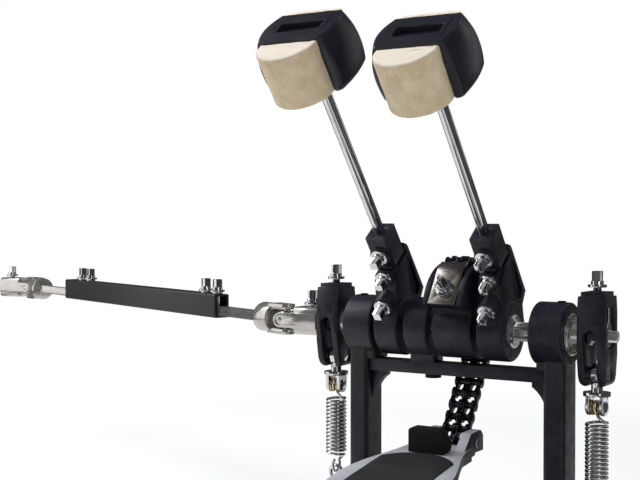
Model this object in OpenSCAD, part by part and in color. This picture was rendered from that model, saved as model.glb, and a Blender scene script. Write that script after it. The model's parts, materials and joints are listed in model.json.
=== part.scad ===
// Double bass drum pedal, primary side, with the telescopic drive linkage.
// Millimetres. +Z up, +Y towards the drum, origin on the floor below the axle.

/* [Axle] */
// Height of the axle above the floor
axle_h = 170; // [165:1:180]
// Width across the flats of the hexagonal axle
hex_af = 12; // [11:0.5:12.5]
// Left edge of the centre bearing housing
centre_x0 = -35; // [-36:0.5:-34]
// Right edge of the centre bearing housing
centre_x1 = -16; // [-17:0.5:-15]

/* [Frame] */
// Distance between the centres of the two bearing housings
post_pitch = 150; // [148:1:156]
// Post thickness along the axle
post_w = 16; // [14:0.5:17]
// Post depth, front to back
post_d = 25; // [22:0.5:26]
// Outer radius of the bearing housings
housing_r = 22.3; // [21.5:0.1:22.8]
// Width of the outer bearing housings
housing_w = 24; // [22:0.5:24]
// Drop from the axle to the top of the crossbar
bar_drop = 25.3; // [24.5:0.1:26]
// Height of the crossbar
bar_t = 9; // [8:0.5:10]
// Thickness of the steel base plate
base_t = 5; // [4:0.5:6]
// Thickness of the rubber sheet under the base plate
grip_t = 2.5; // [2:0.5:4]

/* [Footboard] */
// Distance from the axle back to the heel hinge
heel_back = 245; // [240:1:250]
// Height of the heel hinge above the floor
heel_h = 30; // [28:0.5:32]
// Width of the footboard at the toe
toe_w = 46; // [44:1:50]
// Width of the footboard at its widest
board_w = 84; // [76:1:90]
// Thickness of the footboard casting
board_t = 7; // [5:0.5:8]

/* [Beaters] */
// Backward lean of the beater shafts from the vertical
lean = 38; // [34:1:40]
// Diameter of the beater shafts
shaft_d = 8; // [7.8:0.1:8.2]
// Height of the left head's lower face above its shaft block
left_rise = 132; // [110:1:138]
// Height of the right head's lower face above its shaft block
right_rise = 121; // [110:1:138]
// Width of a beater head where it swells most
head_w = 61.4; // [58:0.2:63]
// Height of a beater head along its shaft
head_h = 41; // [38:1:44]
// Depth of a head's moulded side walls, front to back
head_d = 39; // [37:1:42]

/* [Chain] */
// Chain pitch
pitch = 9.525; // [9.5:0.005:9.55]
// Radius of the chain track on the cam
track_r = 37; // [36:0.5:38]
// Height of the centre of the chain track above the axle
track_up = 12; // [11:0.5:13]
// Lean of the free chain from the vertical
chain_lean = 33; // [31:0.5:35]

/* [Springs] */
// Outer diameter of the return springs
spring_d = 16.4; // [15:0.2:17]
// Wire diameter of the return springs
wire_d = 2.2; // [2:0.1:2.4]
// Coil pitch
coil_pitch = 2.9; // [2.7:0.1:3.2]

/* [Linkage] */
// Angle of the linkage from the axle line
link_yaw = 22; // [15:1:25]
// Length from joint centre to joint centre
link_len = 535; // [500:5:560]
// Length of the sliding tube
tube_l = 320; // [300:2:330]

/* [Hidden] */
$fn = 48;

// Running clearance on a radius, and a press fit's
run_gap = 0.05;
fit_gap = 0.02;
// Key bolts: radius of the shank and of the flange. Small screws: shank radius
key_r = 2.9;
flange_r = 6.5;
screw_r = 2.4;
hex_r = hex_af / 2 / cos(30);
post_x = post_pitch / 2;
// Posts and feet stand a little outside the housings' centres
foot_x = post_x + 3.5;
base_top = grip_t + base_t;
// Stations along the axle: [start, end]
left_hub_x = [-60, -40.5];
right_hub_x = [24, 43.5];
cam_x = [-11, 19.4];
rocker_w = 19;
left_rocker_x = [-115, -96];
right_rocker_x = [96, 115];
stub_r = 4;
hub_r = 22;
journal_r = 6;
bearing_r = 14;
bearing_w = 8;
// The outer bearings stand proud of their housings, and a collar backs each one
bearing_out = 2.5;
collar_r = 11.5;
// Spring rocker and the pin that carries the stirrup
pin_drop = 26;
pin_r = 4.5;
slot_w = 9.6;
roller_drop = 49.4;
coil_top = -59.5;
coil_bottom = -103;
anchor_drop = 118;
// Shaft block: its top on the shaft's axis, from the axle
block_top = [-28.5, 71.2];
block_size = [17, 19, 25];
tilt_drop = 34;
tilt_pin_r = 3;
// The block's round tail between the hub's cheeks
tail_w = 9;
tail_r = 9.5;
// Chain: the place where it leaves the cam, and its direction
chain_leave = [track_r * cos(chain_lean), track_up - track_r * sin(chain_lean)];
run_links = 9;
cam_links = 9;
link_turn = 2 * asin(pitch / 2 / track_r);
chain_x = (cam_x[0] + cam_x[1]) / 2;
chain_end = chain_leave - run_links * pitch * [sin(chain_lean), cos(chain_lean)];
strand = 10.13;
// Universal joints
near_x = -152;
near_bolt = 24.4;
far_bolt = 33;
ear_in = 8;
ear_out = 12;
cross_r = 2.5;
bar_w = 8;

// ---- shared shapes -------------------------------------------------------

module at_axle() translate([0, 0, axle_h]) children();

module along_x(x0, x1) translate([x0, 0, 0]) rotate([90, 0, 90]) linear_extrude(x1 - x0) children();

module along_y(y0, y1) translate([0, y1, 0]) rotate([90, 0, 0]) linear_extrude(y1 - y0) children();

module along_z(z0, z1) translate([0, 0, z0]) linear_extrude(z1 - z0) children();

module rod_x(x0, x1, r) along_x(x0, x1) circle(r);

module rod_z(z0, z1, r) translate([0, 0, z0]) cylinder(r = r, h = z1 - z0);

// A rectangle with round corners, centred
module round_rect(w, h, r) {
    square([w - 2 * r, h], center = true);
    square([w, h - 2 * r], center = true);
    for (sx = [-1, 1], sy = [-1, 1]) translate([sx * (w / 2 - r), sy * (h / 2 - r)]) circle(r);
}

// A disc along X with rounded rims
module rim_disc(x0, x1, r, e) translate([x0, 0, 0]) rotate([0, 90, 0]) rotate_extrude() {
    square([r - e, x1 - x0]);
    translate([0, e]) square([r, x1 - x0 - 2 * e]);
    for (y = [e, x1 - x0 - e]) intersection() {
        translate([r - e, y]) circle(e);
        square([r, x1 - x0]);
    }
}

// The hexagon of the axle, corners up and down, with play added to its radius
module hex_bar(x0, x1, play = 0)
    translate([x0, 0, 0]) rotate([0, 90, 0]) cylinder(r = hex_r + play, h = x1 - x0, $fn = 6);

// A drum-key bolt standing on z = 0: square head, flange, and a shank below
module key_bolt(shank) {
    translate([-3, -3, 1.8]) cube([6, 6, 9.4]);
    rod_z(1.8, 4.4, 4.4);
    rod_z(0, 1.8, flange_r);
    rod_z(-shank, 0, key_r);
}

module ring_x(x0, x1, r_out, r_in) along_x(x0, x1) difference() {
    circle(r_out);
    circle(r_in);
}

// ---- frame ---------------------------------------------------------------

module base_outline(grow) {
    half = 45 + grow;
    front = 93 + grow;
    difference() {
        union() {
            translate([-half, -312 - grow]) square([2 * half, 330]);
            translate([0, -312 - grow + 14]) square([2 * half - 28, 28], center = true);
            translate([-front, -42]) square([2 * front, 92 + grow]);
            polygon([[-half, -110], [half, -110], [front, -42], [-front, -42]]);
        }
        translate([0, -150]) round_rect(46, 130, 12);
    }
}

module at_spurs() for (sx = [-1, 1]) translate([sx * spur_at[0], spur_at[1], 0]) children();

module base_grip() color("#1a1a1b") along_z(0, grip_t) difference() {
    base_outline(-1.5);
    at_spurs() circle(spur_r + 1);
}

module base_plate() color("#26262a") {
    difference() {
        along_z(grip_t, base_top) base_outline(0);
        at_spurs() rod_z(grip_t - 1, base_top + 1, spur_r);
    }
    clamp_bed();
}

// Screws: in the feet, and the one on top of each housing
foot_screw_y = [-19, 19];
cap_screw_x = post_x + 5;

// One post with its bearing housing, spring arm and foot; it stands at +X
module upright() {
    inner = post_x - housing_w / 2;
    outer = post_x + housing_w / 2;
    anchor_reach = right_spring_x - post_x;
    difference() {
        union() {
            at_axle() rim_disc(inner, outer, housing_r, 1.6);
            translate([foot_x, 0, 0]) along_z(base_top, axle_h - 12) round_rect(post_w, post_d, 3.5);
            // seat of the housing, its underside level with the crossbar's top
            translate([post_x + 0.5, 0, 0]) along_z(axle_h - bar_drop, axle_h - 12) round_rect(22, 22, 3);
            // flared foot with two screw holes
            translate([foot_x, 0, 0]) along_z(base_top, base_top + 6) round_rect(28, 52, 8);
            translate([foot_x, 0, 0]) along_y(-4, 4)
                polygon([[-13, base_top + 6], [13, base_top + 6], [7, base_top + 26], [-7, base_top + 26]]);
            // arm that holds the spring anchor
            translate([post_x, 0, 0]) along_z(axle_h - anchor_drop - 22, axle_h - anchor_drop - 13) {
                translate([anchor_reach / 2, 0]) square([anchor_reach, 15], center = true);
                translate([anchor_reach, 0]) circle(7.5);
            }
            translate([post_x, 0, 0]) along_y(-2.5, 2.5) polygon([[8, axle_h - anchor_drop - 37],
                [8, axle_h - anchor_drop - 20], [27, axle_h - anchor_drop - 20]]);
        }
        at_axle() rod_x(inner - 1, outer + 1, bearing_r);
        translate([right_spring_x, 0, 0]) rod_z(axle_h - anchor_drop - 30, axle_h - anchor_drop, 3.05);
        for (y = foot_screw_y) translate([foot_x, y, 0]) rod_z(base_top - 1, base_top + 8, screw_r);
        translate([cap_screw_x, 0, 0]) rod_z(axle_h + housing_r - 7, axle_h + housing_r + 1, screw_r);
    }
}

module right_upright() color("#2c2d33") upright();

module left_upright() color("#2c2d33") mirror([1, 0, 0]) upright();

// Crossbar with its two corner gussets
module crossbar() {
    reach = foot_x - post_w / 2;
    color("#2c2d33") at_axle() {
        along_y(-9, 6) translate([-reach, -bar_drop - bar_t]) square([2 * reach, bar_t]);
        for (sx = [-1, 1]) scale([sx, 1, 1]) along_y(-4.5, 4.5) difference() {
            translate([reach - 11, -bar_drop - bar_t - 22]) square([11, 23]);
            translate([reach - 24, -bar_drop - bar_t - 24]) circle(24);
        }
    }
}

// Centre bearing housing on its pedestal
module centre_housing() {
    w = centre_x1 - centre_x0;
    color("#2c2d33") at_axle() difference() {
        union() {
            rim_disc(centre_x0, centre_x1, housing_r - 0.3, 1.6);
            translate([centre_x0, -9, -bar_drop]) cube([w, 16, 14]);
        }
        rod_x(centre_x0 - 1, centre_x1 + 1, bearing_r);
    }
}

// Ball bearing: outer race, shield, and the inner race round the journal
module bearing(x0) {
    ring_x(x0, x0 + bearing_w, bearing_r, 11.6);
    ring_x(x0 + 0.6, x0 + bearing_w - 0.6, 11.7, 7.9);
    ring_x(x0, x0 + bearing_w, 8, journal_r + run_gap);
}

module bearing_rings() {
    inner = post_x - housing_w / 2;
    outer = post_x + housing_w / 2;
    color("#b9bcc0") at_axle() {
        for (x = [inner, outer + bearing_out - bearing_w, -outer - bearing_out, -inner - bearing_w]) bearing(x);
        // thin flanges against the housings' outer faces
        for (x = [outer, -outer - 1]) ring_x(x, x + 1, 15, bearing_r - 0.1);
        bearing(centre_x0);
        bearing(centre_x1 - bearing_w);
    }
}

// Button-head screws: housing tops, post feet, crossbar underside, heel plate
module screw(length) {
    rod_z(0, 1.6, 4.2);
    rod_z(-length, 0, screw_r);
}

module frame_screws() color("#3a3b3f") {
    for (sx = [-1, 1]) {
        translate([sx * cap_screw_x, 0, axle_h + housing_r]) {
            rod_z(0, 0.8, 3);
            rod_z(-7, 0, screw_r);
        }
        for (y = foot_screw_y) translate([sx * foot_x, y, base_top + 6]) screw(5);
        translate([sx * 30, -292, base_top + 14]) screw(5);
    }
    // nut of the centre pedestal, under the crossbar
    translate([(centre_x0 + centre_x1) / 2 + 5, 0, axle_h - bar_drop - bar_t]) rod_z(-3.2, 0, 6);
}

// Heel plate: a sloped shoe with two hinge knuckles at its front
module heel_plate() {
    color("#a6a8ac") difference() {
        union() {
            along_x(-board_w / 2, board_w / 2) polygon([[-308, base_top], [-308, base_top + 7],
                [-300, base_top + 14], [-268, heel_h + 1], [-258, heel_h + 5], [-252, heel_h], [-252, base_top]]);
            for (sx = [-1, 1]) scale([sx, 1, 1]) translate([0, -heel_back, heel_h]) rod_x(24, board_w / 2, 7);
            for (sx = [-1, 1]) scale([sx, 1, 1])
                along_x(24, board_w / 2) translate([-heel_back - 7, base_top]) square([14, heel_h - base_top]);
        }
        translate([0, -heel_back, heel_h]) rod_x(-board_w, board_w, 3);
        translate([0, -heel_back, heel_h]) rod_x(-23.8, 23.8, 8);
        for (sx = [-1, 1]) translate([sx * 30, -292, 0]) {
            rod_z(base_top + 8, base_top + 20, screw_r);
            rod_z(base_top + 14, base_top + 30, 4.6);
        }
    }
}

// Anchor screws at the front corners, and the hoop clamp's pivot: [y, z]
spur_at = [84, 39];
spur_r = 4;
clamp_pin = [20, 20];
jaw_half = 21;

// Cross pins: the heel hinge's, and the hoop clamp's
module hinge_pins() color("#c4c7ca") {
    translate([0, -heel_back, heel_h]) rod_x(-board_w / 2 - 1, board_w / 2 + 1, 3);
    translate([0, clamp_pin[0], clamp_pin[1]]) rod_x(-24, 24, 2.5);
}

// Threaded eyes that hold the springs' lower ends, with their nuts
module spring_anchors() color("#c4c7ca") for (x = [left_spring_x, right_spring_x])
    translate([x, 0, axle_h - anchor_drop]) {
        rotate([90, 0, 0]) rotate_extrude() translate([5.2, 0]) circle(1.6);
        rod_z(-36, -6, 3);
        for (z = [-13, -25.5]) translate([0, 0, z]) cylinder(r = 5.8, h = 3.5, $fn = 6);
    }

// Two pointed anchor screws at the front corners
module spurs() color("#c4c7ca") at_spurs() {
    rod_z(4, 34, spur_r);
    translate([0, 0, 1]) cylinder(r1 = 0.6, r2 = 4, h = 3.1);
    translate([0, 0, base_top]) cylinder(r = 7.5, h = 6, $fn = 6);
    rod_z(34, 42, 7);
}

// ---- hoop clamp ----------------------------------------------------------

module lower_jaw_pad() color("#1a1a1b") translate([0, 46, base_top]) {
    along_z(0, 2) round_rect(56, 20, 3);
}

// The frame's own lugs and lip for the clamp are part of this plate
module clamp_bed() {
    along_z(grip_t, base_top) translate([-32, 30]) square([64, 28]);
    for (sx = [-1, 1]) scale([sx, 1, 1]) along_x(jaw_half + 0.4, jaw_half + 6.4) difference() {
        union() {
            translate([clamp_pin[0] - 7, base_top]) square([14, clamp_pin[1] - base_top]);
            translate(clamp_pin) circle(7);
        }
        translate(clamp_pin) circle(2.5);
    }
}

module clamp_jaw() color("#2c2d33") difference() {
    along_x(-jaw_half, jaw_half) difference() {
        polygon([[-16, 15], [-16, 21], [-4, 23], [12, 29], [34, 32], [52, 27], [57, 23], [56, 21.5],
            [33, 21.5], [26, 14], [14, 14], [6, 15]]);
        translate(clamp_pin) circle(2.5 + run_gap);
    }
    translate([0, -9, 0]) rod_z(0, 60, 4.2);
    for (sx = [-1, 1]) translate([sx * 12, 0, 0]) along_x(-5, 5) translate([14, 27]) square([26, 10]);
}

module clamp_jaw_pad() color("#1a1a1b") along_x(-jaw_half, jaw_half) translate([35, 19.5]) square([20, 2]);

// Wing bolt that bears on the base plate and lifts the jaw's tail
module clamp_wing_bolt() color("#c4c7ca") translate([0, -9, 0]) {
    translate([0, 0, base_top + 0.3]) cylinder(r1 = 1.5, r2 = 3.9, h = 3);
    rod_z(base_top + 3.2, 34, 3.9);
    rod_z(25.4, 34, 7);
    for (sx = [-1, 1]) scale([sx, 1, 1]) along_y(-2, 2) {
        polygon([[5, 26.5], [18, 32], [18, 38], [5, 33]]);
        translate([17, 35.5]) circle(4);
    }
}

// ---- footboard -----------------------------------------------------------

// The board's centre line is an arc from the heel hinge to the toe
toe_y = -12;
toe_z = axle_h + chain_end[1] - board_t;
board_sag = 9;
// Pin that carries the chain's end, and half the room between its cheeks
clevis = [chain_end[0], axle_h + chain_end[1]];
chain_room = 11.4;
board_steps = 14;
function board_at(t, lift) = let(y = -heel_back + 16 + t * (toe_y + heel_back - 16),
    z = heel_h + 2 + t * (toe_z - heel_h - 2) + board_sag * sin(180 * t) + lift) [y, z];

module board_profile(t0, t1, lift0, lift1) polygon(concat(
    [for (i = [0:board_steps]) board_at(t0 + (t1 - t0) * i / board_steps, lift1)],
    [for (i = [board_steps:-1:0]) board_at(t0 + (t1 - t0) * i / board_steps, lift0)]));

// Plan of the board: narrow toe with round corners, waist, wide tread
module board_plan(grow = 0) {
    ht = toe_w / 2 + grow;
    hb = board_w / 2 + grow;
    polygon(concat(
        [for (a = [0:15:90]) [ht - 9 + 9 * sin(a), toe_y - 9 + 9 * cos(a)]],
        [for (i = [0:8]) [ht + (hb - ht) * (1 - cos(180 * i / 8)) / 2, toe_y - 12 - 10 * i]],
        [[hb, -heel_back + 22], [hb - 6, -heel_back + 14], [-hb + 6, -heel_back + 14], [-hb, -heel_back + 22]],
        [for (i = [8:-1:0]) [-ht - (hb - ht) * (1 - cos(180 * i / 8)) / 2, toe_y - 12 - 10 * i]],
        [for (a = [90:-15:0]) [-ht + 9 - 9 * sin(a), toe_y - 9 + 9 * cos(a)]]));
}

module footboard() color("#a6a8ac") {
    difference() {
        intersection() {
            along_x(-board_w, board_w) board_profile(0, 1, 0, board_t);
            along_z(0, axle_h) board_plan();
        }
        intersection() {
            along_x(-board_w, board_w) board_profile(0.05, 0.86, board_t - 1.6, board_t + 9);
            along_z(0, axle_h) insert_plan(0.3);
        }
        translate([0, -heel_back, heel_h]) rod_x(-board_w, board_w, 7.6);
        // notch for the chain
        translate([chain_x - chain_room, toe_y - 12, 0]) cube([2 * chain_room, 30, axle_h]);
    }
    // knuckle round the heel pin, with its web
    difference() {
        union() {
            translate([0, -heel_back, heel_h]) rod_x(-23.5, 23.5, 7);
            along_x(-23.5, 23.5) polygon([[-heel_back, heel_h - 6], [-heel_back + 24, heel_h + 3.4],
                [-heel_back + 24, heel_h + 9], [-heel_back, heel_h + 6]]);
        }
        translate([0, -heel_back, heel_h]) rod_x(-board_w, board_w, 3 + run_gap);
    }
    // two stiffening ribs below
    for (sx = [-1, 1]) scale([sx, 1, 1]) along_x(16, 20) board_profile(0.12, 0.97, -5, 0.4);
    // cheeks beside the chain's end, with the clevis pin and its heads
    for (sx = [-1, 1]) translate([chain_x, 0, 0]) scale([sx, 1, 1]) {
        along_x(chain_room, chain_room + 7.4) polygon([[-37.5, toe_z + 1], [-37.5, toe_z + 4], [-26, clevis[1] + 8.5],
            [-10, clevis[1] + 9], [-6, clevis[1] + 5], [-6, toe_z + 1]]);
        translate([0, clevis[0], clevis[1]]) rod_x(chain_room + 7.4, chain_room + 8.4, 3);
    }
    translate([chain_x, clevis[0], clevis[1]]) rod_x(-chain_room - 1, chain_room + 1, 1.05);
}

// Plan of the dark tread: round at the toe, straight sides
module insert_plan(grow) {
    intersection() {
        translate([0, -87]) circle(36 + grow);
        translate([-28 - grow, -104]) square([56 + 2 * grow, 104]);
    }
    polygon([[-28 - grow, -92], [28 + grow, -92], [34 + grow, -heel_back + 34 - grow],
        [-34 - grow, -heel_back + 34 - grow]]);
}

module footboard_insert() color("#232427") intersection() {
    along_x(-board_w, board_w) board_profile(0.05, 0.86, board_t - 1.6, board_t + 0.8);
    along_z(0, axle_h) insert_plan(0);
}

// Moulded toe stop behind the chain; its foot follows the board
module toe_block() color("#1d1e21") difference() {
    translate([0, -44, 0]) intersection() {
        along_y(-6, 6) polygon([[-15, toe_z + 1], [12.5, toe_z + 1], [15, toe_z + 9], [12, toe_z + 19],
            [9, toe_z + 21], [-11, toe_z + 21], [-15, toe_z + 19]]);
        along_x(-30, 30) polygon([[-6, toe_z], [6, toe_z], [3, toe_z + 22], [-6, toe_z + 22]]);
    }
    along_x(-board_w, board_w) board_profile(0.7, 1, -10, board_t);
}

// ---- axles, hubs and rockers ---------------------------------------------

module left_axle() color("#c9cbce") at_axle() {
    outer = post_x + housing_w / 2;
    inner = post_x - housing_w / 2;
    rod_x(-outer - bearing_out - 0.1, -inner + 0.5, journal_r);
    rod_x(left_rocker_x[1] + 0.05, -outer - bearing_out - 0.2, collar_r);
    hex_bar(-inner + 0.5, centre_x0 - 0.6);
    rod_x(centre_x0 - 0.6, (centre_x0 + centre_x1) / 2 - 0.6, journal_r);
    hex_bar(near_x + 15, -outer - bearing_out - 0.1);
}

module right_axle() color("#c9cbce") at_axle() {
    outer = post_x + housing_w / 2;
    inner = post_x - housing_w / 2;
    rod_x((centre_x0 + centre_x1) / 2 + 0.6, centre_x1 + 0.6, journal_r);
    hex_bar(centre_x1 + 0.6, inner - 0.5);
    rod_x(inner - 0.5, outer + bearing_out + 0.1, journal_r);
    rod_x(outer + bearing_out + 0.2, right_rocker_x[0] - 0.05, collar_r);
    hex_bar(outer + bearing_out + 0.1, right_rocker_x[0] + 6);
    rod_x(right_rocker_x[0] + 5, right_rocker_x[1] + 5, 4);
    // retaining ring beside the right hub
    ring_x(right_hub_x[1] + 0.05, right_hub_x[1] + 1.1, 12.5, 6.5);
    ring_x(right_hub_x[1] + 1.1, right_hub_x[1] + 2.6, 9.5, 6.5);
}

// Rocker: a tapered block, slotted below, with a pocket on its outer side at +X
module rocker(hex_through) {
    half = 16.5;
    foot = -34;
    depth = [[-12, 27.5], [12, 27.5], [half, 1], [11.5, foot + 7], [8, foot], [-8, foot], [-11.5, foot + 7],
        [-half, 1]];
    bevel = 2.6;
    difference() {
        union() {
            intersection() {
                along_x(0, rocker_w) polygon(depth);
                along_z(-40, 40) polygon([[0, -half + bevel], [bevel, -half], [rocker_w - bevel, -half],
                    [rocker_w, -half + bevel], [rocker_w, half - bevel], [rocker_w - bevel, half],
                    [bevel, half], [0, half - bevel]]);
                along_y(-20, 20) union() {
                    translate([0, foot + 4]) square([rocker_w, 63]);
                    translate([4, foot]) square([rocker_w - 8, 8]);
                    for (x = [4, rocker_w - 4]) translate([x, foot + 4]) circle(4);
                }
            }
            translate([1.5, -10.5, 27]) cube([rocker_w - 3, 21, 3.5]);
        }
        // slot from front to back
        along_y(-20, 20) {
            translate([rocker_w / 2, 0]) circle(slot_w / 2);
            translate([(rocker_w - slot_w) / 2, -40]) square([slot_w, 40]);
        }
        // pocket for the clamp saddle
        along_x(rocker_w - 3.4, rocker_w + 1) {
            translate([0, -1.2]) circle(7.5);
            translate([-7.5, -1.2]) square([15, 21.2]);
        }
        rod_x(-1, rocker_w + 1, stub_r + fit_gap);
        translate([0, 0, -pin_drop]) rod_x(-1, rocker_w + 1, pin_r);
        hex_bar(-1, hex_through ? rocker_w + 1 : 6, fit_gap);
        translate([rocker_w / 2, 0, 0]) rod_z(5, 40, key_r);
    }
}

module right_rocker() color("#2c2d33") at_axle() translate([right_rocker_x[0], 0, 0]) rocker(false);

module left_rocker() color("#2c2d33") at_axle() translate([left_rocker_x[1], 0, 0]) mirror([1, 0, 0]) rocker(true);

// Saddle on the axle with its pointer, and the stirrup's pivot pin
module saddle_and_pin(hex_bore) {
    along_x(rocker_w - 3.3, rocker_w - 0.6) difference() {
        union() {
            circle(7.3);
            polygon([[-6, 3.8], [6, 3.8], [1.6, 12.6], [-1.6, 12.6]]);
            translate([-2, 11]) square([4, 8.6]);
        }
        if (hex_bore) rotate(90) circle(hex_r + fit_gap, $fn = 6);
        else circle(stub_r + fit_gap);
    }
    translate([0, 0, -pin_drop]) rod_x(0.6, rocker_w - 0.6, pin_r);
}

module right_saddle_and_pin() color("#c4c7ca") at_axle() translate([right_rocker_x[0], 0, 0])
    saddle_and_pin(false);

module left_saddle_and_pin() color("#c4c7ca") at_axle() translate([left_rocker_x[1], 0, 0])
    mirror([1, 0, 0]) saddle_and_pin(true);

// A bolt whose axis lies in the YZ plane, pointing down the shaft's face
module face_bolt(x, at, shank) translate([x, at[0], axle_h + at[1]]) rotate([90 + lean, 0, 0]) key_bolt(shank);

hub_bolt_at = [-23.5, 15];
tilt_bolt_at = [-21, 36];

module rocker_bolt(x) translate([hub_mid(x), 0, axle_h + 33.5]) key_bolt(26.3);

// Key bolts that turn with the left axle: rocker, hub and linkage clamp
module left_key_bolts() color("#d8dadd") {
    rocker_bolt(left_rocker_x);
    face_bolt(hub_mid(left_hub_x), hub_bolt_at, 9);
    face_bolt(hub_mid(left_hub_x), tilt_bolt_at, 5.9);
    translate([near_x + near_bolt, 0, axle_h + 12.6]) key_bolt(5.4);
}

// Key bolts that turn with the right axle: rocker, hub and chain clip
module right_key_bolts() color("#d8dadd") {
    rocker_bolt(right_rocker_x);
    face_bolt(hub_mid(right_hub_x), hub_bolt_at, 9);
    face_bolt(hub_mid(right_hub_x), tilt_bolt_at, 5.9);
    at_axle() clip_bolt_place() translate([0, 0, 2]) key_bolt(9);
}

function hub_mid(x) = (x[0] + x[1]) / 2;

// Beater hub: a clamp ring on the hexagon with the arm that seats the shaft block
module hub(x) {
    mid = hub_mid(x);
    half = (x[1] - x[0]) / 2;
    tilt = tilt_centre();
    color("#2c2d33") difference() {
        union() {
            at_axle() rim_disc(x[0], x[1], hub_r, 1.8);
            at_axle() along_x(x[0] + 0.8, x[1] - 0.8) {
                polygon([[21.6, 4], [18.4, 18], [23.8, 28.1], [-1.5, 60], [-4, 61.8], [-9.3, 62.7],
                    [-3.5, 55.2], [-9, 50.6], [-20.2, 34], [-18, 20], [-21.5, 4]]);
                translate(tilt) circle(5.8);
            }
            face_boss(mid, hub_bolt_at, 20, 7.6);
            face_boss(mid, tilt_bolt_at, 12, 7.6);
        }
        at_axle() hex_bar(x[0] - 1, x[1] + 1, fit_gap);
        // slot for the block's round tail, and the bore of its pivot
        at_axle() along_x(mid - tail_w / 2 - 0.1, mid + tail_w / 2 + 0.1) translate(tilt) rotate(lean) {
            circle(tail_r + 0.4);
            translate([-tail_r - 0.4, 0]) square([2 * tail_r + 0.8, 22]);
        }
        at_axle() translate([0, tilt[0], tilt[1]]) rod_x(mid - half + 2, mid + half - 2, tilt_pin_r + run_gap);
        // room for the block's foot as it tilts
        at_axle() along_x(x[0] - 1, x[1] + 1) translate(tilt) rotate(lean)
            translate([-20, tail_r - 3.7]) square([20.4 + tail_r, 22]);
        // recess on each side of the arm
        for (side = [x[1] - 2.2, x[0] - 1]) at_axle() along_x(side, side + 3.2) arm_recess();
        for (at = [hub_bolt_at, tilt_bolt_at]) face_room(mid, at);
        face_boss(mid, hub_bolt_at, 9, key_r);
        face_boss(mid, tilt_bolt_at, 8, key_r);
    }
}

module arm_recess() {
    polygon([[-1, 54.5], [18.6, 28.6], [14, 19.5], [6, 25], [2.5, 37], [-1.4, 48]]);
}

// A cylinder along a face bolt's axis, from its flange into the arm
module face_boss(x, at, length, r) translate([x, at[0], axle_h + at[1]]) rotate([90 + lean, 0, 0])
    rod_z(-length, 0, r);

// Spot face that clears a face bolt's flange
module face_room(x, at) translate([x, at[0], axle_h + at[1]]) rotate([90 + lean, 0, 0])
    rod_z(0, 14, flange_r + 0.3);

function tilt_centre() = block_top - tilt_drop * [-sin(lean), cos(lean)];

module left_hub() hub(left_hub_x);

module right_hub() hub(right_hub_x);

// ---- beaters -------------------------------------------------------------

// Places children on a beater shaft: origin at the block's top, Z up the shaft
module on_shaft(x) translate([x, block_top[0], axle_h + block_top[1]]) rotate([lean, 0, 0]) children();

module shaft_block(x) color("#2c2d33") on_shaft(hub_mid(x)) difference() {
    union() {
        along_z(-block_size[2], 0) round_rect(block_size[0], block_size[1], 1.5);
        translate([0, 0, -tilt_drop]) rod_x(-tail_w / 2, tail_w / 2, tail_r);
        translate([-tail_w / 2, -5, -tilt_drop]) cube([tail_w, 10, tilt_drop - 20]);
        translate([0, 0, -tilt_drop]) rod_x(-7.6, 7.6, tilt_pin_r);
        translate([0, 0, -14.8]) rotate([90, 0, 0]) rod_z(0, 11.6, 7.6);
    }
    rod_z(-28, 1, shaft_d / 2 + run_gap);
    translate([0, 0, -14.8]) rotate([90, 0, 0]) rod_z(0, 12, key_r);
}

module block_bolt(x) color("#d8dadd") on_shaft(hub_mid(x)) translate([0, -11.6, -14.8]) rotate([90, 0, 0])
    key_bolt(7);

module beater_shaft(x, rise) color("#d8dadd") on_shaft(hub_mid(x)) rod_z(-24, rise + 12, shaft_d / 2);

// Outline with straight ends of height h and two bulged sides, w wide at the middle
module bulged(w, h, bulge) {
    r = (h * h / 4 + bulge * bulge) / 2 / bulge;
    intersection() {
        square([w, h], center = true);
        translate([w / 2 - r, 0]) circle(r, $fn = 96);
        translate([r - w / 2, 0]) circle(r, $fn = 96);
    }
}

head_side_r = 56.8;
mouth_w = head_w - 16.8;
felt_web = 18;

// Front outline of a head: sides that swell below the middle, round lower corners
module head_front() intersection() {
    translate([-head_w / 2, 0]) square([head_w, head_h]);
    translate([head_w / 2 - head_side_r, 15.4]) circle(head_side_r, $fn = 96);
    translate([head_side_r - head_w / 2, 15.4]) circle(head_side_r, $fn = 96);
    translate([0, head_h]) round_rect(head_w, 2 * head_h, 7);
}

// Moulded head body: shallow mouths for the two felts; a recess, groove and dimple on top
module beater_body(x, rise) color("#3c3d41") on_shaft(hub_mid(x)) translate([0, 0, rise]) difference() {
    intersection() {
        along_z(0, head_h) bulged(head_w + 2.6, head_d, 2.5);
        along_y(-head_d, head_d) head_front();
    }
    for (sy = [-1, 1]) translate([-mouth_w / 2, sy > 0 ? felt_web : -head_d, -1])
        cube([mouth_w, head_d - felt_web, head_h + 2]);
    translate([0, 0, head_h]) cube([33.5, 11.4, 8], center = true);
    translate([20.1, -11, head_h - 0.8]) cube([0.8, 24, 2]);
    translate([-21, 2, 0]) rod_z(head_h - 1, head_h + 1, 0.8);
    rod_z(-1, 12.3, shaft_d / 2 + run_gap);
}

// Felt pads: a domed one facing the player and a flat one behind
module beater_felts(x, rise) color("#d9c7a4") on_shaft(hub_mid(x)) translate([0, 0, rise]) {
    half = mouth_w / 2 - 0.2;
    intersection() {
        along_z(1, head_h - 1.2) translate([0, -17.5]) circle(23.2, $fn = 64);
        translate([-half, -50, 0]) cube([2 * half, 50 - felt_web, head_h]);
    }
    along_z(1, head_h - 1.2) polygon([[-half, felt_web], [half, felt_web], [half, felt_web + 3.5],
        [half - 4, felt_web + 6.5], [-half + 4, felt_web + 6.5], [-half, felt_web + 3.5]]);
}

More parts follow.
